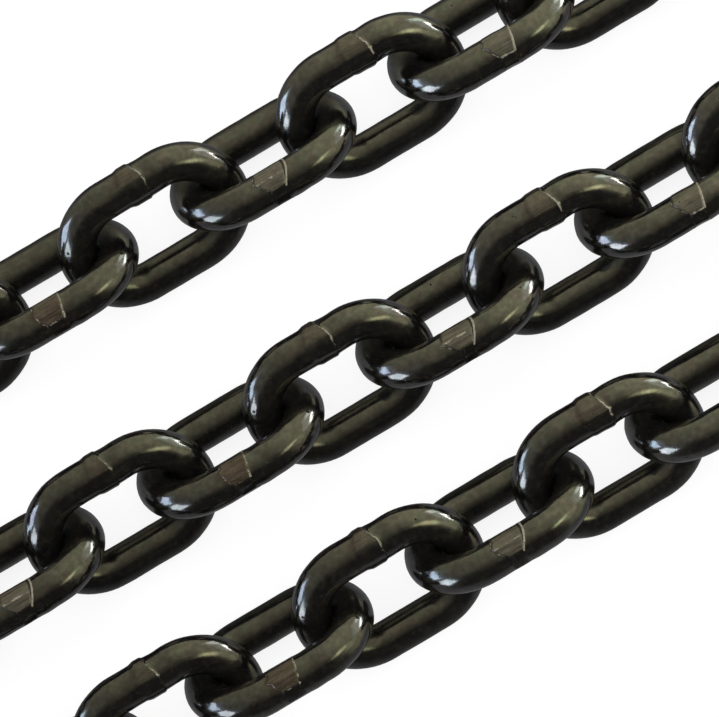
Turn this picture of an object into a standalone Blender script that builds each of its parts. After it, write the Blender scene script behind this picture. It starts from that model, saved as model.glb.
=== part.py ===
"""Three cut lengths of welded short-link anchor chain, laid side by side on a level floor.

Metres, +Z up. X runs along the chains and Z = 0 is the floor. The origin is the middle of the footprint.
The links of a chain lean to the two sides in turn, so every link stands on one of its legs.
"""

import math

import bmesh
import bpy
from mathutils import Matrix, Vector

# The link: a round bar bent to an oval and butt-welded in the middle of one leg
BAR = 0.026  # diameter of the bar
PITCH = 0.083  # inside length of a link
WIDTH = 0.096  # outside width of a link
WELD_RISE = 0.0013  # how far the weld's collar stands above the bar
WELD_LEVEL = 0.014  # length of the collar's level part
WELD_RAMP = 0.003  # length of the slope at each end of the collar
LEAN = math.radians(45)  # between the plane of a link and the floor

# The chains: equal lengths pulled straight, so that each link bears on the next
LINKS = 12
BEARING_GAP = 0.0003  # left between two links that bear on each other
FAR_TO_MIDDLE = 0.154  # between the centrelines of neighbouring chains
MIDDLE_TO_NEAR = 0.133
MIDDLE_AHEAD = 0.052  # how much further towards +X the middle chain lies than the far one
NEAR_AHEAD = 0.012  # the same for the near chain

# How finely the round shapes are cut into flats
BAR_SIDES = 12  # a multiple of 4 that isn't a multiple of 8, so that a flat lies on the floor at 45 degrees
CROWN_STEPS = 8  # along the half circle at each end of a link

BEND_RADIUS = (WIDTH - BAR) / 2  # of the bar's centreline round the crowns
BEND_CENTRE = (PITCH + BAR) / 2 - BEND_RADIUS  # from the link's middle to the centre of a crown's bend
FLAT_DEPTH = BAR / 2 * math.cos(math.pi / BAR_SIDES)  # from the bar's centreline to the middle of a flat
AXIS_HEIGHT = BEND_RADIUS * math.sin(LEAN) + FLAT_DEPTH
SPACING = PITCH - BEARING_GAP  # from the middle of one link to the middle of the next


def clear_scene():
    for obj in list(bpy.data.objects):
        bpy.data.objects.remove(obj)


def steel():
    material = bpy.data.materials.new("blackened_steel")
    material.use_nodes = True
    shader = material.node_tree.nodes["Principled BSDF"]
    shader.inputs["Base Color"].default_value = (0.05, 0.045, 0.036, 1)
    shader.inputs["Metallic"].default_value = 1.0
    shader.inputs["Roughness"].default_value = 0.3
    return material


def first_ring(shape):
    """The bar's section where the -Y leg meets the crown at the +X end, as edges."""
    upright = Matrix.Rotation(math.radians(90), 4, "Y")
    place = Matrix.Translation((BEND_CENTRE, -BEND_RADIUS, 0)) @ upright
    made = bmesh.ops.create_circle(shape, segments=BAR_SIDES, radius=BAR / 2, matrix=place)
    return list({edge for vert in made["verts"] for edge in vert.link_edges})


def crown(shape, ring, end):
    """Turns the ring through the half circle at one end of the link, end being 1 or -1."""
    verts = list({vert for edge in ring for vert in edge.verts})
    made = bmesh.ops.spin(
        shape,
        geom=verts + ring,
        cent=(end * BEND_CENTRE, 0, 0),
        axis=(0, 0, 1),
        angle=math.pi,
        steps=CROWN_STEPS,
    )
    return [item for item in made["geom_last"] if isinstance(item, bmesh.types.BMEdge)]


def welded_leg(shape, ring):
    """Draws the ring out along the +Y leg, over the weld's collar, to the crown at the -X end."""
    level_end = WELD_LEVEL / 2
    ramp_end = level_end + WELD_RAMP
    plain = BAR / 2
    collar = plain + WELD_RISE
    stations = [
        (ramp_end, plain),
        (level_end, collar),
        (-level_end, collar),
        (-ramp_end, plain),
        (-BEND_CENTRE, plain),
    ]
    from_x = BEND_CENTRE
    from_radius = plain
    for x, radius in stations:
        made = bmesh.ops.extrude_edge_only(shape, edges=ring)["geom"]
        verts = [item for item in made if isinstance(item, bmesh.types.BMVert)]
        ring = [item for item in made if isinstance(item, bmesh.types.BMEdge)]
        bmesh.ops.translate(shape, vec=(x - from_x, 0, 0), verts=verts)
        to_middle = Matrix.Translation(-Vector((x, BEND_RADIUS, 0)))
        growth = radius / from_radius
        bmesh.ops.scale(shape, vec=(1, growth, growth), space=to_middle, verts=verts)
        from_x = x
        from_radius = radius
    return ring


def link_mesh(material):
    """One link in its own XY plane, its legs along X and its weld on the +Y leg."""
    shape = bmesh.new()
    start = first_ring(shape)
    ring = crown(shape, start, 1)
    ring = welded_leg(shape, ring)
    ring = crown(shape, ring, -1)
    bmesh.ops.bridge_loops(shape, edges=start + ring)
    bmesh.ops.recalc_face_normals(shape, faces=shape.faces)
    mesh = bpy.data.meshes.new("link")
    shape.to_mesh(mesh)
    shape.free()
    mesh.shade_smooth()
    mesh.materials.append(material)
    return mesh


def lay_chain(name, mesh, middle_x, centre_y, collection):
    """One length of chain: even links lean towards +Y and odd ones towards -Y, all with the weld on top."""
    for number in range(1, LINKS + 1):
        link = bpy.data.objects.new(f"{name}_chain_link_{number:02d}", mesh)
        from_middle = (number - (LINKS + 1) / 2) * SPACING
        link.location = (middle_x + from_middle, centre_y, AXIS_HEIGHT)
        link.rotation_euler.x = LEAN if number % 2 == 0 else math.pi - LEAN
        collection.objects.link(link)


def main():
    clear_scene()
    collection = bpy.data.collections.new("anchor_chain_lengths")
    bpy.context.scene.collection.children.link(collection)
    mesh = link_mesh(steel())

    far_x = -max(MIDDLE_AHEAD, NEAR_AHEAD) / 2
    far_y = (FAR_TO_MIDDLE + MIDDLE_TO_NEAR) / 2
    lay_chain("far", mesh, far_x, far_y, collection)
    lay_chain("middle", mesh, far_x + MIDDLE_AHEAD, far_y - FAR_TO_MIDDLE, collection)
    lay_chain("near", mesh, far_x + NEAR_AHEAD, -far_y, collection)


main()
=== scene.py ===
"""Dresses three lengths of anchor chain: round links with trimmed welds, in glossy black-olive paint."""

import math

import bpy
import numpy as np
from mathutils import Matrix, Quaternion, Vector


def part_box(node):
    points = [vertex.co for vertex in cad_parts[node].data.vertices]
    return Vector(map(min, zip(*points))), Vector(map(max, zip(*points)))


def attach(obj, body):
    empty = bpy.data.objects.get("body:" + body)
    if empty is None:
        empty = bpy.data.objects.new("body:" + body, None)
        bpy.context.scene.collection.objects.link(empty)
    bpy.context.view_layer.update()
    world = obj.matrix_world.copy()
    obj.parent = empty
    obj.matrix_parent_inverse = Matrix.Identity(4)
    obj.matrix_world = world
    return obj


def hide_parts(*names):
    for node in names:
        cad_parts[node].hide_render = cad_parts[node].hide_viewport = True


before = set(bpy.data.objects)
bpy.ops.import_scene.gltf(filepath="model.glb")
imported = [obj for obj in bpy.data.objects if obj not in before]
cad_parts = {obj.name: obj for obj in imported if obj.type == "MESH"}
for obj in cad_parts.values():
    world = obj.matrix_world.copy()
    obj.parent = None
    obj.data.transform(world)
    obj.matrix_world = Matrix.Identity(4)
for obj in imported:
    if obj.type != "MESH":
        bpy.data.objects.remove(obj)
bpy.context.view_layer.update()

MM = 0.001

# The link, in metres, as the part has it
BAR = 0.026
PITCH = 0.083
WIDTH = 0.096
GAP = 0.3 * MM  # between neighbouring links, which nearly touch
LEAN = math.radians(45)
FLATS = 12  # sides of the bar in the part, which stands on the middle of one
SPACING = PITCH - GAP  # between the middles of neighbouring links
BEND_RADIUS = (WIDTH - BAR) / 2
BEND_CENTRE = (PITCH + BAR) / 2 - BEND_RADIUS
REACH = BEND_RADIUS * math.sin(LEAN) + BAR / 2 * math.cos(math.pi / FLATS)  # from its middle to its flats
FLOOR_HEIGHT = REACH - BEND_RADIUS * math.sin(LEAN) - BAR / 2  # a little below them, as the bar is round

# How finely a link is cut
SIDES = 72  # every 5 degrees, where most of the facets' edges lie too
CROWN_STEPS = 36
PLAIN_STEPS = 8  # along the leg without a weld
WELD_START = -10 * MM  # the weld's left edge, before the stations are slid to where each weld has it
WELD_SEAM = 9 * MM  # and its seam
EDGE_ZONE = (-1 * MM, 2 * MM)  # round the left edge, where the stations are close together
EDGE_STEPS = 9
COLLAR_STEPS = 21  # from the seam to that zone
LEG_STEPS = 9  # from each bend to the weld
SEAM_STEPS = 4  # on each side of the seam
FINE = 0.35 * MM  # between the stations there

# The surface that the forge leaves: a sum of waves
WAVINESS = 0.05 * MM  # the root mean square of its height
WAVE_COUNT = 14
WAVE_LENGTH = 14 * MM
WAVE_SPREAD = (0.7, 1.6)  # least and most share of that length
FIRST_SEED = 100  # of the first link's random shape and marks. Each further link's is one higher.

# The trimmed collar round the weld
FLATNESS = {0: 0.4, 1: 0.7}  # of the facets on even and on odd links, where 0 is round and 1 is flat
WELD_SHIFT = 0.5  # millimetres: the most that a link's edge and seam stray from their places in its plan
SHARP_RAMP = 2  # millimetres: a collar with a shorter slope at its start has a ragged, crumbled edge there
START_RAGGED = 0.3 * MM
BEAD_RISE = 0.45 * MM  # of the pale bead left along the seam
BEAD_REACH = 0.75 * MM  # how far from the seam the bead's rise ends
BEAD_PALE = (0.5 * MM, 1.0 * MM)  # distances from the seam where its paleness begins to fade and ends
BEAD_LEAST = 0.25  # the share of the bead's rise that is left where it isn't pale
OFFSET = 0.35 * MM  # by which the two ends of the bar missed each other
OFFSET_RAMP = (4 * MM, 11 * MM)  # along the leg, where that offset begins and where it is full
SOFT_EDGE = 10  # degrees round the bar over which a worn or bare area fades out
BARE_COLLAR = 0.2  # how bare the collar is outside the bare flats
OUTLINE = (0.5625 * MM, 1.5 * MM)  # half widths of the painted shadow line where the collar begins, full and faded
STAIN_REACH = 4 * MM  # how far before the collar the paint begins to turn brown
CRUMBLED = 0.8 * MM  # how far from a sharp collar's edge the paint has crumbled

# How noise makes a mark uneven: the mark's mean, spread, least and most
BEAD_LUMPS = (0.8, 0.25, 0.2, 1.5)
BEAD_SPECKS = (0.95, 0.15, 0, 1)
WORN_SPECKS = (0.75, 0.4, 0, 1)
CRUMBS = (0.5, 0.4, 0, 1)
START_TURN = 9  # sides by which the seam's noise is turned round the bar for the collar's start
CRUMBS_TURN = 5  # and for the crumbs there

# Each weld that the photograph shows, by the link's number. Places along the leg are in millimetres, towards
# the link's +X end, and angles in degrees round the bar, where 0 is the link's outer edge and 90 its own +Z.
# A pair is an angle and a value there.
# start, seam: where the collar begins and where the bead runs. ragged: how much the bead strays.
# ramp, drop: lengths of the collar's slopes at its start and down to the bar. groove: how far before the seam
# the drop begins. facets: edges of the trimmed flats.
# bare, wear: the angles between which the flats show brown and matt, and how bare they are there.
# outline, strip: how much painted shade darkens the collar's left edge and the groove. stain: how brown the
# paint is there.
# bead: how pale the seam is. worn: edges where the paint has gone pale, and how much.
WELDS = {
    4: dict(
        start=((-40, -6), (0, -6), (55, -8), (180, -6)),
        seam=((-30, 4), (10, 5.5), (35, 7.2), (60, 9.6), (85, 9), (180, 8)),
        ragged=0.2,
        ramp=5.0,
        drop=3.0,
        groove=((0, 1.0), (90, 1.0)),
        facets=(-40, -5, 30, 65, 110, 155, 205, 260),
        bare=(-5, 65),
        wear=0.45,
        outline=0.2,
        strip=0.0,
        stain=0.35,
        bead=((0, 0), (8, 0.55), (40, 0.65), (68, 0.75), (78, 0)),
        worn=((30, 0.3),),
    ),
    5: dict(
        start=(
            (-120, -13), (-80, -13.5), (-66, -16), (-60, -16.5),
            (-52, -13.5), (-35, -13), (-15, -10.5), (60, -9),
        ),
        seam=((-150, 6), (-90, 5.8), (-60, 5), (-30, 3.4), (-12, 2.3), (90, 5)),
        ragged=0.12,
        ramp=1.2,
        drop=0.6,
        groove=((-110, 0.9), (-15, 0.9)),
        facets=(-170, -135, -95, -50, -15, 30, 80, 130),
        bare=(-95, -15),
        wear=0.65,
        outline=0.6,
        strip=0.5,
        stain=1.0,
        bead=((-118, 0), (-106, 0.7), (-60, 0.62), (-25, 0.7), (-14, 0.9), (-7, 0)),
        worn=((-50, 0.35), (-15, 0.7)),
    ),
    6: dict(
        start=((-40, -7), (10, -7), (55, -10.5), (180, -6)),
        seam=((-30, 3), (0, 4.2), (30, 7.5), (50, 9.3), (90, 9), (180, 7)),
        ragged=0.25,
        ramp=5.0,
        drop=3.2,
        groove=((0, 1.0), (90, 1.0)),
        facets=(-35, 0, 25, 52, 98, 150, 200, 260),
        bare=(-15, 52),
        wear=0.54,
        outline=0.2,
        strip=0.0,
        stain=0.5,
        bead=((-22, 0), (-12, 0.5), (15, 0.6), (40, 0.75), (60, 0.6), (85, 0.7), (95, 0)),
        worn=((25, 0.3),),
    ),
    7: dict(
        start=(
            (-120, -12.5), (-85, -12.5), (-66, -14), (-60, -15.3),
            (-52, -13), (-38, -11.5), (-20, -7), (60, -7),
        ),
        seam=((-150, 9), (-90, 10.5), (-70, 10.3), (-40, 7.5), (-12, 3.5), (60, 4), (120, 7)),
        ragged=0.07,
        ramp=1.2,
        drop=0.6,
        groove=((-110, 2.4), (-70, 2.4), (-40, 1.6), (-15, 0.8)),
        facets=(-175, -140, -100, -55, -20, 35, 85, 135),
        bare=(-95, -20),
        wear=1.0,
        outline=0.75,
        strip=0.9,
        stain=0.05,
        bead=((-122, 0), (-112, 1), (-60, 0.95), (-15, 1), (-7, 0)),
        worn=((-55, 0.8), (-20, 0.5)),
    ),
    8: dict(
        start=((-40, -4), (0, -4.5), (35, -6.5), (60, -6), (180, -3)),
        seam=((-30, 8), (0, 8.6), (20, 10.5), (40, 12), (60, 14.2), (90, 14), (180, 11)),
        ragged=0.3,
        ramp=4.5,
        drop=3.2,
        groove=((0, 1.0), (90, 1.0)),
        facets=(-40, 0, 40, 70, 110, 160, 210, 265),
        bare=(-10, 70),
        wear=0.5,
        outline=0.1,
        strip=0.0,
        stain=0.4,
        bead=((-16, 0), (-8, 0.75), (8, 0.5), (30, 0.65), (55, 0.85), (88, 0.9), (98, 0)),
        worn=((40, 0.5),),
    ),
    9: dict(
        start=(
            (-120, -4), (-90, -5), (-65, -6.2), (-55, -5),
            (-40, -3), (-25, -0.5), (-15, 0.5), (90, -1),
        ),
        seam=((-150, 15), (-85, 14.8), (-60, 14), (-30, 12.4), (-12, 11), (90, 12)),
        ragged=0.07,
        ramp=1.2,
        drop=0.6,
        groove=((-110, 1.0), (-15, 1.0)),
        facets=(-170, -130, -95, -55, -15, 25, 80, 135),
        bare=(-95, -15),
        wear=1.0,
        outline=0.6,
        strip=0.6,
        stain=0.05,
        bead=((-112, 0), (-102, 0.9), (-60, 0.9), (-15, 1), (-7, 0)),
        worn=((-55, 0.5), (-15, 0.9)),
    ),
}
# On even and on odd links: the angle round the bar that faces the photograph's camera, and how many
# millimetres the collar stands above the bar at each angle, as it was ground lower on one side
CAMERA_SIDE = {0: 57.7, 1: -32.3}
COLLAR_RISE = {
    0: ((-80, 0.8), (-30, 1.1), (10, 0.7), (60, 0.6), (100, 0.8), (145, 1.3), (200, 0.8)),
    1: ((-170, 0.5), (-122, 0.3), (-100, 0.7), (-75, 1.0), (-30, 0.9), (20, 0.8), (60, 0.9), (120, 0.7)),
}

# Small dents, by the link's number: at which end the crown is, degrees round it from its tip towards the
# weld, degrees round the bar, and radius
DENTS = {5: (1, 36, -46, 1.2 * MM), 6: (-1, 28, 50, 1.1 * MM)}
NO_DENT = 10.0  # how far off along each axis, in radii, a link without a dent has it

# Painted shade, which darkens and dulls the paint's gloss. A side of the bar is given by cosines from its
# middle, as faded out and as full.
NEIGHBOUR_REACH = (3 * MM, 15 * MM)  # distances from the next link between which the painted shade there fades out
INNER_SHADE = 0.45  # painted shade on the side of the bar that faces the link's hole
INNER_SIDE = (0.82, 0.97)
LOW_LEG_SHADE = 0.7  # painted shade on the outer side of the leg that lies on the floor
SHADED_SIDE = (-0.3, 0.0)
LOW_LEG = (0.5, 1.0)  # sines of the turn from the link's tip, between which the painted shade sets in
STREAK_SHIFT = 1.0  # metres: the most that a link's streaks are shifted, so that no two links have the same

# The paint's colours
BLACK = (0.003, 0.003, 0.003, 1)
BLOTCHED_BLACK = (0.006, 0.005, 0.004, 1)
MOTTLED_BLACK = (0.010, 0.008, 0.006, 1)
STAINED_BLACK = (0.016, 0.010, 0.007, 1)
NICKED = (0.10, 0.09, 0.06, 1)
PITTED = (0.002, 0.002, 0.002, 1)
BARE_STREAK = (0.014, 0.010, 0.006, 1)
BARE_OLIVE = (0.046, 0.041, 0.026, 1)
BARE_BROWN = (0.054, 0.036, 0.026, 1)
BEAD_DARK = (0.12, 0.11, 0.08, 1)
BEAD_LIGHT = (0.25, 0.23, 0.17, 1)
WARM_GLOSS = (1.0, 0.94, 0.93, 1)
GREEN_GLOSS = (0.94, 1.0, 0.94, 1)
STAINED_GLOSS = (0.60, 0.52, 0.46, 1)

# Its patterns, as repeats to the metre
BLOTCH_SCALE = 110.0
MOTTLING_SCALE = 260.0
GRAIN_SCALE = 1100.0
PIT_SCALE = 62.0
NICK_SCALES = (70, 550, 550)
NICK_TURN = (0.5, 0.3, 0.9)  # which makes the nicks run slantwise
STREAK_SCALES = (60, 750, 750)  # along the bar and across it
BEAD_FRAYING = 0.5  # how much the grain frays the bead's borders
BARE_FRAYING = 0.6  # and those of the bare flats

# Two levels of a pattern: where what it adds begins to show, and where it shows fully
BLOTCHED = (0.35, 0.7)
MOTTLED = (0.52, 0.70)
BROWN_BLOTCHED = (0.4, 0.6)
GREEN_BLOTCHED = (0.38, 0.62)
STREAKED = (0.35, 0.7)
LIT_BEAD = (0.3, 0.7)
FRAYED_BEAD = (0.7, 1.0)
FRAYED_BARE = (0.55, 1.15)
PIT_SIZE = (0.05, 0.03)  # from a pit's middle to its rim and to its bottom, as shares of the pits' spacing
NICK_SIZE = (0.05, 0.025)
DENT_SIZE = (1.0, 0.5)  # in the dent's radii

# Two levels of a pattern, and the values that it turns into there
STAIN_SHARE = (0.3, 0.6, 0.6, 1.0)
PAINT_ROUGHNESS = (0.3, 0.75, 0.09, 0.16)
BARE_ROUGHNESS = (0.3, 0.7, 0.26, 0.40)
LENGTHWISE_SHINE = (-0.25, 0.25, 0.42, 0.58)  # by the place along X in metres
FILM_SHINE = (0.32, 0.68, 0.84, 1.16)

# Gloss and relief. A relief has a strength and a depth.
PAINT_IOR = 1.8
BEAD_ROUGHNESS = 0.5
# Where shade is painted, the paint is rougher and shines little, which darkens it
SHADED_ROUGHNESS = 0.45
SHADED_SHINE = 0.12
PIT_SHINE = 0.05
BLOTCH_RELIEF = (0.5, 0.25 * MM)
GRAIN_RELIEF = (0.4, 0.06 * MM)
PIT_RELIEF = (1.0, 0.4 * MM)
STREAK_DEPTH = 0.3 * MM

# The photograph's view
VIEW_ELEVATION = math.radians(77.3)
VIEW_ROLL = math.radians(30.69)  # the chains climb to the right
VIEW_WIDTH = 0.4669  # what the frame spans at the chains' height
VIEW_TARGET = Vector((0.0033, -0.0037, REACH))
LENS = 400.0  # millimetres, as the sensor's width is
SENSOR = 36.0
CLIP = (0.1, 60)  # how near and how far the camera sees

# The floor, the backdrop and the light from above, none of which the paint mirrors
FLOOR_SIZE = 40
FLOOR_GREY = (0.18, 0.18, 0.18, 1)
FLOOR_GLOW = 0.86
BACKDROP = 0.97
OVERHEAD_SIZE = 3.0
OVERHEAD_HEIGHT = 2.6
OVERHEAD_POWER = 25.0

# The lights that only the paint mirrors, with directions in degrees: azimuth from +X towards +Y, and height
# above the floor
LIGHT_DISTANCE = 8.0
PANELS = {
    # name: azimuth, height, width, tallness and lean in degrees, colour, brightness
    "window_far_pane": (157, 5, 31, 30, 0, (0.62, 0.76, 1.0), 7.0),
    "window_far_glow": (158, 8, 42, 42, 0, (0.45, 0.62, 1.0), 0.42),
    "window_near_pane": (195, 13, 25, 25, 0, (0.82, 0.90, 1.0), 7.3),
    "window_near_glow": (193, 15, 36, 38, 0, (0.45, 0.62, 1.0), 0.42),
    "white_panel": (10, 7, 20, 8, -14, (1.0, 1.0, 0.98), 18.0),
    "pale_glow": (14, 17, 40, 28, 0, (0.85, 0.95, 1.0), 0.7),
    "side_panel": (30, 10, 12, 24, 0, (0.88, 1.0, 0.94), 3.0),
    "yellow_glow": (-28, 27, 24, 18, 0, (1.0, 0.95, 0.6), 0.45),
}

# The room round them: azimuth, brightness, and how yellow that side is
ROOM = (
    (-180, 0.41, 0.3),
    (-160, 0.34, 0.3),
    (-143, 0.12, 0.2),
    (-125, 0.05, 0.0),
    (-75, 0.05, 0.2),
    (-58, 0.15, 0.8),
    (-38, 0.88, 1.0),
    (0, 1.16, 1.0),
    (55, 1.30, 1.0),
    (75, 1.14, 1.0),
    (98, 0.70, 0.9),
    (140, 0.53, 0.7),
    (180, 0.41, 0.3),
)
ROOM_TOP = 1.4  # the brightness that the ramp's white stands for
PLAIN_WALL = (1.0, 1.0, 0.9)
YELLOW_WALL = (1.05, 1.0, 0.65)
WALLS_END = math.radians(50)  # the height where the walls begin to blend into the ceiling
CEILING = (0.56, 0.51, 0.345, 1)
HORIZON = (-0.45, 0.02)  # heights in radians between which the floor's shade blends into the walls
FLOOR_SHADE = (0.08, 0.08, 0.08, 1)  # what the paint sees from below the horizon on the -Y and +Y sides
FLOOR_LIGHT = (0.25, 0.25, 0.26, 1)  # and there towards both ends of the chains
FLOOR_BLEND = (0.1, 0.5)  # how far along X a direction points where the one blends into the other
UNDER = Vector((0.0, -0.5, -0.85)).normalized()  # down and a little towards -Y, where the floor is light too
UNDER_BLEND = (0.5, 0.95)  # cosines from that direction, as faded out and as full
SOFT_SPOT = (-35, 48, 48, 24, -28)  # azimuth, height, width, tallness and lean in degrees
SOFT_SPOT_COLOUR = (4.6, 4.6, 2.6, 1)
SOFT_SPOT_BLEND = (0.5, 0.7)  # cosines from its middle, which keep it off the room's other side


def smooth_step(low, high, value):
    """0 up to one value and 1 from another, with a soft slope between them."""
    share = np.clip((value - low) / (high - low), 0, 1)
    return share * share * (3 - 2 * share)


def fading(value, full, gone):
    """1 up to one value and 0 from another, with a straight slope between them."""
    return np.clip((gone - value) / (gone - full), 0, 1)


def uneven(levels, noise):
    """Noise round 0 as a mark's strength, with the mark's mean, spread, least and most."""
    mean, spread, least, most = levels
    return np.clip(mean + spread * noise, least, most)


def round_the_bar(points, degrees):
    """Reads a curve given at a few angles round the bar, at every angle."""
    angles, values = zip(*points)
    return np.interp(degrees, angles, values, period=360)


def softened(values):
    """Averages each value with two on either side of it, where the first one follows the last."""
    near = range(-2, 3)
    return sum(np.roll(values, step, axis=0) for step in near) / len(near)


def away_from(degrees, centre):
    """How many degrees an angle is from another, the short way round."""
    return np.abs((degrees - centre + 180) % 360 - 180)


def steps(start, end, count):
    """Evenly spaced places from a start to an end, which is left out."""
    return np.linspace(start, end, count + 1)[:-1]


def leg_stations():
    """Places along the welded leg from +X to -X, close together at the weld's two edges."""
    seam = WELD_SEAM + FINE * np.arange(-SEAM_STEPS, SEAM_STEPS + 1)
    after_edge = WELD_START + EDGE_ZONE[1]
    before_edge = WELD_START + EDGE_ZONE[0]
    return np.concatenate([
        steps(BEND_CENTRE, seam[-1], LEG_STEPS),
        seam[::-1],
        steps(seam[0], after_edge, COLLAR_STEPS)[1:],
        steps(after_edge, before_edge, EDGE_STEPS),
        steps(before_edge, -BEND_CENTRE, LEG_STEPS),
    ])


def crown_stations(centre, first_angle, first_run):
    """Points round one end of the link."""
    stations = []
    for step in range(CROWN_STEPS):
        turned = math.pi * step / CROWN_STEPS
        c = math.cos(first_angle + turned)
        s = math.sin(first_angle + turned)
        stations.append((centre + BEND_RADIUS * c, BEND_RADIUS * s, c, s, first_run + BEND_RADIUS * turned))
    return stations


def centreline():
    """Points once round the link: x, y, the outward direction, and the run along the bar from the weld."""
    crown_run = math.pi * BEND_RADIUS
    stations = [(x, BEND_RADIUS, 0.0, 1.0, -x) for x in leg_stations()]
    stations += crown_stations(-BEND_CENTRE, math.pi / 2, BEND_CENTRE)
    for x in steps(-BEND_CENTRE, BEND_CENTRE, PLAIN_STEPS):
        stations.append((x, -BEND_RADIUS, 0.0, -1.0, 2 * BEND_CENTRE + crown_run + x))
    stations += crown_stations(BEND_CENTRE, -math.pi / 2, 3 * BEND_CENTRE + crown_run)
    return np.array(stations)


def waves(points, random):
    """The forged surface's height at each point: sine waves in random directions."""
    ways = random.normal(size=(WAVE_COUNT, 3))
    ways /= np.linalg.norm(ways, axis=1)[:, None]
    lengths = WAVE_LENGTH * random.uniform(*WAVE_SPREAD, WAVE_COUNT)
    phases = random.uniform(0, 2 * math.pi, WAVE_COUNT)
    along = np.tensordot(points, ways, axes=([-1], [1]))
    total = np.sin(along * 2 * math.pi / lengths + phases).sum(axis=-1)
    return WAVINESS * total / math.sqrt(WAVE_COUNT / 2)


def facet_reach(degrees, edges, flatness):
    """How far out a collar with facets between its edges reaches at each angle, as a share of its radius."""
    share = np.ones_like(degrees)
    for low, high in zip(edges, edges[1:] + (edges[0] + 360,)):
        half = (high - low) / 2
        off = away_from(degrees, low + half)
        flat = math.cos(math.radians(half)) / np.cos(np.radians(np.minimum(off, half)))
        share = np.where(off < half, flat, share)
    return 1 - flatness * (1 - share)


def weld_edges(plan, degrees, random):
    """Where the collar begins and where its seam runs at each angle, and the noise that frays them."""
    shift = random.uniform(-WELD_SHIFT, WELD_SHIFT)
    crumbs = random.normal(size=SIDES)
    rough = (crumbs + np.roll(crumbs, 1)) / 2
    seam = (softened(round_the_bar(plan["seam"], degrees)) + shift + plan["ragged"] * rough) * MM
    start = (round_the_bar(plan["start"], degrees) + random.uniform(-WELD_SHIFT, WELD_SHIFT)) * MM
    if plan["ramp"] < SHARP_RAMP:
        start = start + START_RAGGED * np.roll(rough, START_TURN)
    return start, seam, crumbs


def slid_stations(places, start, seam):
    """The leg's stations, slid along it at each angle so that they follow the collar's start and its seam."""
    stops = [-BEND_CENTRE, WELD_START, WELD_SEAM, BEND_CENTRE]
    x = np.empty((len(places), SIDES))
    for side in range(SIDES):
        x[:, side] = np.interp(places, stops, [-BEND_CENTRE, start[side], seam[side], BEND_CENTRE])
    return x


def weld(plan, number, degrees, random):
    """The radius, place along the leg and surface marks of the welded leg's stations."""
    places = leg_stations()
    start, seam, crumbs = weld_edges(plan, degrees, random)
    x = slid_stations(places, start, seam)
    from_seam = np.abs(x - seam)
    before_seam = x < seam

    # The collar rises over its slope, and drops to the bar in the groove before the seam
    corner = BAR / 2 + round_the_bar(COLLAR_RISE[number % 2], degrees) * MM
    collar = corner * facet_reach(degrees, plan["facets"], FLATNESS[number % 2])
    rising = smooth_step(start, start + plan["ramp"] * MM, x)
    groove = seam - round_the_bar(plan["groove"], degrees) * MM
    dropped = smooth_step(groove, groove + plan["drop"] * MM, x)
    within = rising * (1 - dropped)
    paleness = round_the_bar(plan["bead"], degrees)
    lumps = uneven(BEAD_LUMPS, crumbs) * (BEAD_LEAST + (1 - BEAD_LEAST) * paleness)
    radius = BAR / 2 + (collar - BAR / 2) * within + BEAD_RISE * lumps * fading(from_seam, 0, BEAD_REACH)

    # The bare flats, and the paint that has gone pale along the seam, worn corners and a crumbled edge
    low, high = plan["bare"]
    half = (high - low) / 2
    on_flats = fading(away_from(degrees, low + half), half - SOFT_EDGE / 2, half + SOFT_EDGE / 2)
    bare = within * before_seam * (BARE_COLLAR + (plan["wear"] - BARE_COLLAR) * on_flats)
    pale = fading(from_seam, *BEAD_PALE) * uneven(BEAD_SPECKS, crumbs) * paleness
    for corner_angle, strength in plan["worn"]:
        on_corner = fading(away_from(degrees, corner_angle), 0, SOFT_EDGE)
        specks = uneven(WORN_SPECKS, softened(random.normal(size=(len(places), 1))))
        pale = np.maximum(pale, within * on_corner * strength * specks)
    if plan["ramp"] < SHARP_RAMP:
        crumbled = fading(np.abs(x - start), 0, CRUMBLED) * on_flats
        pale = np.maximum(pale, crumbled * uneven(CRUMBS, np.roll(crumbs, CRUMBS_TURN)))

    # Painted shade on the collar's slope and in its groove, and the paint that has turned brown before it
    outline = fading(np.abs(x - start - plan["ramp"] * MM / 2), *OUTLINE)
    weld_shade = np.maximum(plan["outline"] * outline, plan["strip"] * dropped * before_seam)
    stain = plan["stain"] * smooth_step(start - STAIN_REACH, start, x) * before_seam * on_flats
    return radius, x, (bare, pale, weld_shade, stain)


def weld_plan(number):
    """The weld of a link that the photograph shows, or one of those for a link that it doesn't."""
    if number in WELDS:
        return WELDS[number]
    alike = sorted(shown for shown in WELDS if shown % 2 == number % 2)
    return WELDS[alike[number // 2 % len(alike)]]


def lean_of(number):
    """Even links lean towards +Y, and odd ones towards -Y."""
    return math.pi - LEAN if number % 2 else LEAN


def from_next_link(local, number):
    """How far each point of a link is from the surface of the nearer of its two neighbours."""
    across = 2 * lean_of(number) - math.pi  # from this link's own frame into its neighbours'
    y = local[..., 1] * math.cos(across) - local[..., 2] * math.sin(across)
    z = local[..., 1] * math.sin(across) + local[..., 2] * math.cos(across)
    gaps = []
    for side in (-1, 1):
        x = local[..., 0] - side * SPACING
        from_bend = x - np.clip(x, -BEND_CENTRE, BEND_CENTRE)
        gaps.append(np.hypot(np.hypot(from_bend, y) - BEND_RADIUS, z) - BAR / 2)
    return np.minimum(*gaps)


def from_dent(local, number):
    """The way from the link's dent to each point, in radii of the dent."""
    if number not in DENTS:
        return np.full(local.shape, NO_DENT)
    end, turn, angle, radius = DENTS[number]
    turn = math.radians(turn)
    angle = math.radians(angle)
    out = BEND_RADIUS + BAR / 2 * math.cos(angle)
    place = (end * (BEND_CENTRE + out * math.cos(turn)), out * math.sin(turn), BAR / 2 * math.sin(angle))
    return (local - np.array(place)) / radius


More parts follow.
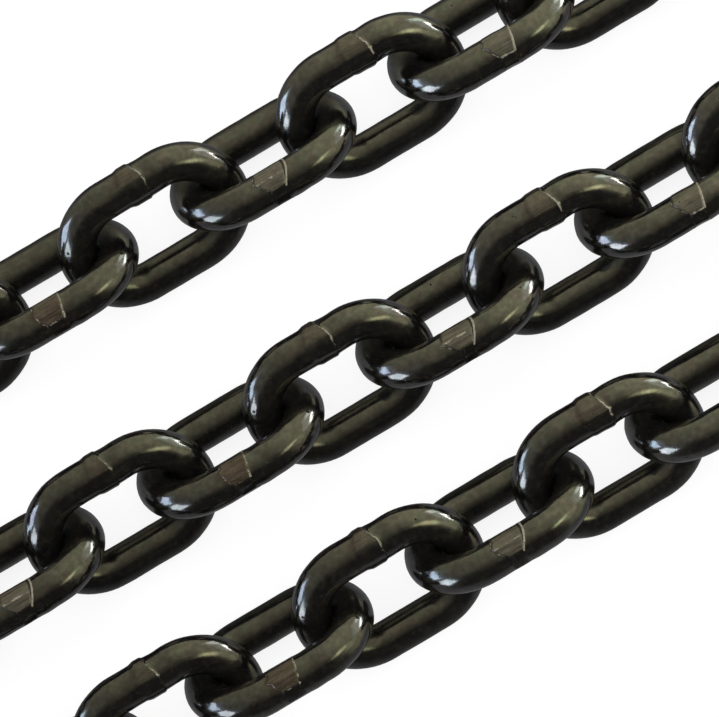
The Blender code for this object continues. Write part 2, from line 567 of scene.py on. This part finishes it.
def painted_shade(weld_shade, local, number, outward_y, angle):
    """How much painted shade darkens and dulls each point: at the weld, by the next link, in the link's hole
    and above the floor.
    """
    crossing = 1 - smooth_step(*NEIGHBOUR_REACH, from_next_link(local, number))
    inner = INNER_SHADE * smooth_step(*INNER_SIDE, -np.cos(angle))
    shade_above_floor = LOW_LEG_SHADE * smooth_step(*LOW_LEG, -outward_y) * smooth_step(*SHADED_SIDE, np.cos(angle))
    return np.maximum(np.maximum(weld_shade, crossing), np.maximum(inner, shade_above_floor))


def link_surface(number, seed):
    """A link's points in its own frame, as rings round the bar, and the marks that the paint reads there."""
    random = np.random.default_rng(seed)
    stations = centreline()
    centre_x, centre_y, outward_x, outward_y, run_along = stations.T[..., None]
    rings = len(stations)
    angle = np.linspace(0, 2 * math.pi, SIDES, endpoint=False)
    radius = np.full((rings, SIDES), BAR / 2)
    x = np.repeat(centre_x, SIDES, axis=1)
    marks = np.zeros((4, rings, SIDES))
    leg_radius, leg_x, leg_marks = weld(weld_plan(number), number, np.degrees(angle), random)
    count = len(leg_x)
    radius[:count] = leg_radius
    x[:count] = leg_x
    marks[:, :count] = leg_marks

    out = radius * np.cos(angle)
    local = np.stack([x + outward_x * out, centre_y + outward_y * out, radius * np.sin(angle)], axis=-1)

    # The bar's end beyond the seam sits a little lower in the photograph, which fades out towards the crown
    beyond = smooth_step(*OFFSET_RAMP, leg_x) * (1 - smooth_step(OFFSET_RAMP[1], BEND_CENTRE, leg_x))
    down = math.radians(CAMERA_SIDE[number % 2] + 90)
    local[:count, :, 1] += OFFSET * math.cos(down) * beyond
    local[:count, :, 2] += OFFSET * math.sin(down) * beyond

    sideways = np.broadcast_to(np.sin(angle), out.shape)
    normal = np.stack([outward_x * np.cos(angle), outward_y * np.cos(angle), sideways], axis=-1)
    local += normal * waves(local, random)[..., None]

    run = np.stack([np.broadcast_to(run_along, out.shape), out, local[..., 2]], axis=-1)
    run += random.uniform(-STREAK_SHIFT, STREAK_SHIFT, 3)
    bare, bead, weld_shade, stain = marks
    return local, {
        "bare": bare,
        "bead": bead,
        "painted_shade": painted_shade(weld_shade, local, number, outward_y, angle),
        "stain": stain,
        "run": run,
        "dent": from_dent(local, number),
    }


def ring_faces(rings):
    """The quads between each ring of points and the next, all the way round the link."""
    ring = np.arange(rings)[:, None]
    side = np.arange(SIDES)[None, :]
    after = (ring + 1) % rings
    beside = (side + 1) % SIDES
    corners = [ring * SIDES + side, ring * SIDES + beside, after * SIDES + beside, after * SIDES + side]
    return np.stack(corners, axis=-1).reshape(-1, 4)


def link_mesh(name, number, middle, seed):
    """One link where it lies, with its marks and its run along the bar kept as attributes."""
    local, marks = link_surface(number, seed)
    mesh = bpy.data.meshes.new(name)
    mesh.from_pydata(local.reshape(-1, 3).tolist(), [], ring_faces(len(local)).tolist())
    mesh.shade_smooth()
    for label, values in marks.items():
        is_vector = values.ndim > 2
        layer = mesh.attributes.new(label, "FLOAT_VECTOR" if is_vector else "FLOAT", "POINT")
        layer.data.foreach_set("vector" if is_vector else "value", values.ravel())
    mesh.transform(Matrix.Translation(middle) @ Matrix.Rotation(lean_of(number), 4, "X"))
    return mesh


def dress_link(node, material, seed):
    """Puts a painted link in the place of its plain solid."""
    low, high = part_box(node)
    number = int(node[-2:])

    # The middle is found from the lower leg's sides of the box, as the collar widens it on the other sides
    y = high[1] - REACH if number % 2 else low[1] + REACH
    middle = Vector(((low[0] + high[0]) / 2, y, low[2] + REACH))
    mesh = link_mesh(f"{node}_painted", number, middle, seed)
    mesh.materials.append(material)
    link = bpy.data.objects.new(f"{node}_painted", mesh)
    bpy.context.scene.collection.objects.link(link)
    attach(link, "root")
    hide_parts(node)


def add_node(tree, kind, inputs=(), **settings):
    """Adds a shader node; inputs pairs a socket's name or number with a value or with a socket to link."""
    made = tree.nodes.new(kind)
    for name, value in settings.items():
        setattr(made, name, value)
    for socket, value in dict(inputs).items():
        if isinstance(value, bpy.types.NodeSocket):
            tree.links.new(value, made.inputs[socket])
        else:
            made.inputs[socket].default_value = value
    return made


def mark(tree, name, output="Fac"):
    """Reads one of the marks kept on the mesh."""
    return add_node(tree, "ShaderNodeAttribute", attribute_name=name).outputs[output]


def math_node(tree, operation, *values):
    """The result of a math node."""
    return add_node(tree, "ShaderNodeMath", dict(enumerate(values)), operation=operation).outputs[0]


def vector_node(tree, operation, *vectors):
    """The result of a vector math node, which is a number for a length or a dot product."""
    made = add_node(tree, "ShaderNodeVectorMath", dict(enumerate(vectors)), operation=operation)
    return made.outputs["Value" if operation in ("LENGTH", "DOT_PRODUCT") else "Vector"]


def mix_colour(tree, share, first, second):
    """The first colour where the share is 0, and the second where it is 1."""
    made = add_node(tree, "ShaderNodeMix", {0: share, 6: first, 7: second}, data_type="RGBA")
    return made.outputs[2]


def mix_value(tree, share, first, second):
    """The first number where the share is 0, and the second where it is 1."""
    made = add_node(tree, "ShaderNodeMix", {0: share, 2: first, 3: second}, data_type="FLOAT")
    return made.outputs[0]


def ranged(tree, value, low, high, to_low=0.0, to_high=1.0):
    """Turns a value between low and high into one between two others, with a smooth start and end."""
    made = add_node(
        tree,
        "ShaderNodeMapRange",
        {"Value": value, "From Min": low, "From Max": high, "To Min": to_low, "To Max": to_high},
        interpolation_type="SMOOTHSTEP",
    )
    return made.outputs[0]


def noise(tree, place, scale, detail):
    """Smooth noise round 0.5, with finer noise on top for more detail."""
    made = add_node(tree, "ShaderNodeTexNoise", {"Vector": place, "Scale": scale, "Detail": detail})
    return made.outputs[0]


def from_cell(tree, place, scale):
    """How far a place is from the middle of its cell, in cells scattered evenly."""
    return add_node(tree, "ShaderNodeTexVoronoi", {"Vector": place, "Scale": scale}).outputs["Distance"]


def bump(tree, height, strength, depth, below=None, inward=False):
    """Relief of a depth in metres, over the relief below it."""
    inputs = {"Height": height, "Strength": strength, "Distance": depth}
    if below:
        inputs["Normal"] = below
    return add_node(tree, "ShaderNodeBump", inputs, invert=inward).outputs[0]


def paint_patterns(tree, place):
    """Patterns that the paint's colour, gloss and relief share, by name."""
    blotches = noise(tree, place, BLOTCH_SCALE, detail=4.0)
    mottling = noise(tree, place, MOTTLING_SCALE, detail=5.0)
    grain = noise(tree, place, GRAIN_SCALE, detail=2.0)
    run = vector_node(tree, "MULTIPLY", mark(tree, "run", "Vector"), STREAK_SCALES)
    streaks = noise(tree, run, 1.0, detail=3.0)

    dent = ranged(tree, vector_node(tree, "LENGTH", mark(tree, "dent", "Vector")), *DENT_SIZE)
    pits = math_node(tree, "MAXIMUM", ranged(tree, from_cell(tree, place, PIT_SCALE), *PIT_SIZE), dent)
    slant = {"Vector": place, "Rotation": NICK_TURN, "Scale": NICK_SCALES}
    slanted = add_node(tree, "ShaderNodeMapping", slant).outputs[0]
    nicks = ranged(tree, from_cell(tree, slanted, 1.0), *NICK_SIZE)

    frayed_bead = math_node(tree, "MULTIPLY_ADD", grain, BEAD_FRAYING, mark(tree, "bead"))
    frayed_bare = math_node(tree, "MULTIPLY_ADD", grain, BARE_FRAYING, mark(tree, "bare"))
    return {
        "blotches": blotches,
        "mottling": mottling,
        "grain": grain,
        "streaks": streaks,
        "pits": pits,
        "nicks": nicks,
        "bead": ranged(tree, frayed_bead, *FRAYED_BEAD),
        "bare": ranged(tree, frayed_bare, *FRAYED_BARE),
        "stain": math_node(tree, "MULTIPLY", mark(tree, "stain"), ranged(tree, blotches, *STAIN_SHARE)),
        # painted shade where links cross, in each link's hole, above the floor and at the welds
        "painted_shade": mark(tree, "painted_shade"),
    }


def paint_colour(tree, patterns):
    """Black paint with brown stains, nicks and pits, brown bare flats and a pale bead."""
    black = mix_colour(tree, ranged(tree, patterns["blotches"], *BLOTCHED), BLACK, BLOTCHED_BLACK)
    black = mix_colour(tree, ranged(tree, patterns["mottling"], *MOTTLED), black, MOTTLED_BLACK)
    black = mix_colour(tree, patterns["stain"], black, STAINED_BLACK)
    black = mix_colour(tree, patterns["nicks"], black, NICKED)
    black = mix_colour(tree, patterns["pits"], black, PITTED)
    steel = mix_colour(tree, ranged(tree, patterns["blotches"], *BROWN_BLOTCHED), BARE_OLIVE, BARE_BROWN)
    steel = mix_colour(tree, ranged(tree, patterns["streaks"], *STREAKED), BARE_STREAK, steel)
    bead = mix_colour(tree, ranged(tree, patterns["grain"], *LIT_BEAD), BEAD_DARK, BEAD_LIGHT)
    return mix_colour(tree, patterns["bead"], mix_colour(tree, patterns["bare"], black, steel), bead)


def paint_roughness(tree, patterns):
    """Glossy paint, with duller bare flats and beads, and duller where shade is painted."""
    smooth = ranged(tree, patterns["blotches"], *PAINT_ROUGHNESS)
    matt = ranged(tree, patterns["streaks"], *BARE_ROUGHNESS)
    rough = mix_value(tree, patterns["bare"], smooth, matt)
    rough = mix_value(tree, patterns["bead"], rough, BEAD_ROUGHNESS)
    return mix_value(tree, patterns["painted_shade"], rough, SHADED_ROUGHNESS)


def paint_shine(tree, patterns, place):
    """More towards +X, unevenly as the film is thinner in spots, and little where shade is painted and in
    pits.
    """
    along = add_node(tree, "ShaderNodeSeparateXYZ", {0: place}).outputs["X"]
    lengthwise = ranged(tree, along, *LENGTHWISE_SHINE)
    film = ranged(tree, patterns["mottling"], *FILM_SHINE)
    shine = mix_value(tree, patterns["painted_shade"], math_node(tree, "MULTIPLY", lengthwise, film), SHADED_SHINE)
    return mix_value(tree, patterns["pits"], shine, PIT_SHINE)


def paint_relief(tree, patterns):
    """Unevenness and grain all over, pits, and scores along the bare flats."""
    relief = bump(tree, patterns["blotches"], *BLOTCH_RELIEF)
    relief = bump(tree, patterns["grain"], *GRAIN_RELIEF, relief)
    relief = bump(tree, patterns["pits"], *PIT_RELIEF, relief, inward=True)
    return bump(tree, patterns["streaks"], patterns["bare"], STREAK_DEPTH, relief)


def paint():
    """Glossy black-olive paint, thin and matt on the trimmed welds, with a pale bead along each seam."""
    material = bpy.data.materials.new("chain_paint")
    material.use_nodes = True
    tree = material.node_tree
    shader = tree.nodes["Principled BSDF"]
    place = add_node(tree, "ShaderNodeTexCoord").outputs["Object"]
    patterns = paint_patterns(tree, place)
    tint = mix_colour(tree, ranged(tree, patterns["blotches"], *GREEN_BLOTCHED), WARM_GLOSS, GREEN_GLOSS)
    tint = mix_colour(tree, patterns["stain"], tint, STAINED_GLOSS)
    shader.inputs["IOR"].default_value = PAINT_IOR
    tree.links.new(paint_colour(tree, patterns), shader.inputs["Base Color"])
    tree.links.new(paint_roughness(tree, patterns), shader.inputs["Roughness"])
    tree.links.new(paint_shine(tree, patterns, place), shader.inputs["Specular IOR Level"])
    tree.links.new(tint, shader.inputs["Specular Tint"])
    tree.links.new(paint_relief(tree, patterns), shader.inputs["Normal"])
    return material


def add_camera():
    """Looks down on the chains from far off, so that they keep the same size across the frame."""
    data = bpy.data.cameras.new("camera")
    data.lens = LENS
    data.sensor_width = SENSOR
    data.clip_start, data.clip_end = CLIP
    camera = bpy.data.objects.new("camera", data)
    bpy.context.scene.collection.objects.link(camera)
    back = Vector((0, -math.cos(VIEW_ELEVATION), math.sin(VIEW_ELEVATION)))
    distance = VIEW_WIDTH * LENS / SENSOR
    turn = (-back).to_track_quat("-Z", "Y").to_matrix().to_4x4()
    turn = turn @ Matrix.Rotation(-VIEW_ROLL, 4, "Z")
    camera.matrix_world = Matrix.Translation(VIEW_TARGET + back * distance) @ turn
    bpy.context.scene.camera = camera


def add_floor():
    """A plain pale floor that the round bars stand on."""
    bpy.ops.mesh.primitive_plane_add(size=FLOOR_SIZE, location=(0, 0, FLOOR_HEIGHT))
    plane = bpy.context.object
    plane.name = "floor"
    plane.visible_glossy = False  # the cut-out photograph shows no pale floor in the paint
    material = bpy.data.materials.new("floor")
    material.use_nodes = True
    shader = material.node_tree.nodes["Principled BSDF"]
    shader.inputs["Base Color"].default_value = FLOOR_GREY
    shader.inputs["Roughness"].default_value = 1.0
    shader.inputs["Specular IOR Level"].default_value = 0.0
    shader.inputs["Emission Color"].default_value = (1, 1, 1, 1)
    shader.inputs["Emission Strength"].default_value = FLOOR_GLOW
    plane.data.materials.append(material)


def toward(azimuth, height):
    """The direction at an azimuth and a height in degrees."""
    a = math.radians(azimuth)
    e = math.radians(height)
    return Vector((math.cos(e) * math.cos(a), math.cos(e) * math.sin(a), math.sin(e)))


def facing_in(way, lean):
    """How a light is turned that shines back from a direction."""
    return (-way).to_track_quat("-Z", "Y") @ Quaternion((0, 0, 1), math.radians(lean))


def add_panel(name, azimuth, height, width, tall, lean, colour, brightness):
    """A lit rectangle far off, which shows in the paint's reflections alone."""
    way = toward(azimuth, height)
    data = bpy.data.lights.new(name, "AREA")
    data.shape = "RECTANGLE"
    data.size = 2 * LIGHT_DISTANCE * math.tan(math.radians(width / 2))
    data.size_y = 2 * LIGHT_DISTANCE * math.tan(math.radians(tall / 2))
    data.color = colour
    data.energy = brightness * math.pi * data.size * data.size_y
    panel = bpy.data.objects.new(name, data)
    panel.location = LIGHT_DISTANCE * way
    panel.rotation_euler = facing_in(way, lean).to_euler()
    panel.visible_camera = False
    panel.visible_diffuse = False
    bpy.context.scene.collection.objects.link(panel)


def add_overhead():
    """A soft light from above, which the paint doesn't mirror."""
    data = bpy.data.lights.new("soft_overhead", "AREA")
    data.size = OVERHEAD_SIZE
    data.energy = OVERHEAD_POWER
    overhead = bpy.data.objects.new("soft_overhead", data)
    overhead.location = (0.0, 0.0, OVERHEAD_HEIGHT)
    overhead.visible_camera = False
    overhead.visible_glossy = False
    bpy.context.scene.collection.objects.link(overhead)


def walls(tree, azimuth):
    """The room's walls, by the azimuth in radians."""
    turn = add_node(tree, "ShaderNodeMapRange", {"Value": azimuth, "From Min": -math.pi, "From Max": math.pi})
    made = add_node(tree, "ShaderNodeValToRGB", {0: turn.outputs[0]})
    stops = made.color_ramp.elements
    stops.remove(stops[1])
    for index, (degrees, brightness, yellow) in enumerate(ROOM):
        position = (degrees + 180) / 360
        stop = stops.new(position) if index else stops[0]
        stop.position = position
        tint = Vector(PLAIN_WALL).lerp(Vector(YELLOW_WALL), yellow)
        stop.color = (*(tint * brightness / ROOM_TOP), 1)
    return vector_node(tree, "MULTIPLY", made.outputs[0], (ROOM_TOP, ROOM_TOP, ROOM_TOP))


def soft_spot(tree, way, azimuth, height, width, tall, lean):
    """An oval patch of light: 1 in its middle direction, fading to 0 at its edge."""
    middle = toward(azimuth, height)
    turned = facing_in(middle, lean)
    shares = []
    for axis, across in ((Vector((1, 0, 0)), width), (Vector((0, 1, 0)), tall)):
        scaled = (turned @ axis) / math.sin(math.radians(across / 2))
        shares.append(vector_node(tree, "DOT_PRODUCT", way, scaled))
    off = add_node(tree, "ShaderNodeCombineXYZ", dict(enumerate(shares))).outputs[0]
    oval = ranged(tree, vector_node(tree, "LENGTH", off), 1.0, 0.0)
    this_side = ranged(tree, vector_node(tree, "DOT_PRODUCT", way, middle), *SOFT_SPOT_BLEND)
    return math_node(tree, "MULTIPLY", oval, this_side)


def room(tree):
    """What the paint mirrors round the lights: olive on the +X and +Y sides, and dark towards -Y."""
    way = add_node(tree, "ShaderNodeTexCoord").outputs["Generated"]
    parts = add_node(tree, "ShaderNodeSeparateXYZ", {0: way}).outputs
    azimuth = math_node(tree, "ARCTAN2", parts["Y"], parts["X"])
    height = math_node(tree, "ARCSINE", parts["Z"])
    upward = {"Value": height, "From Min": WALLS_END, "From Max": math.pi / 2}
    up = add_node(tree, "ShaderNodeMapRange", upward).outputs[0]
    above = mix_colour(tree, up, walls(tree, azimuth), CEILING)
    lengthwise = math_node(tree, "ABSOLUTE", parts["X"])
    below = mix_colour(tree, ranged(tree, lengthwise, *FLOOR_BLEND), FLOOR_SHADE, FLOOR_LIGHT)
    seen = mix_colour(tree, ranged(tree, height, *HORIZON), below, above)
    under = vector_node(tree, "DOT_PRODUCT", way, UNDER)
    seen = mix_colour(tree, ranged(tree, under, *UNDER_BLEND), seen, FLOOR_LIGHT)
    return mix_colour(tree, soft_spot(tree, way, *SOFT_SPOT), seen, SOFT_SPOT_COLOUR)


def surroundings():
    """Pale for the camera, and the room for the paint's reflections."""
    world = bpy.data.worlds.new("studio")
    bpy.context.scene.world = world
    world.use_nodes = True
    tree = world.node_tree
    inner = add_node(tree, "ShaderNodeBackground", {"Color": room(tree)})
    outer = tree.nodes["Background"]
    outer.inputs["Color"].default_value = (1, 1, 1, 1)
    outer.inputs["Strength"].default_value = BACKDROP
    in_the_paint = add_node(tree, "ShaderNodeLightPath").outputs["Is Glossy Ray"]
    both = add_node(tree, "ShaderNodeMixShader", {0: in_the_paint, 1: outer.outputs[0], 2: inner.outputs[0]})
    tree.links.new(both.outputs[0], tree.nodes["World Output"].inputs["Surface"])


add_camera()
chain_paint = paint()
for seed, node in enumerate(sorted(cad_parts), start=FIRST_SEED):
    dress_link(node, chain_paint, seed)
add_floor()
for name, panel in PANELS.items():
    add_panel(name, *panel)
add_overhead()
surroundings()
bpy.context.scene.view_settings.view_transform = "Standard"
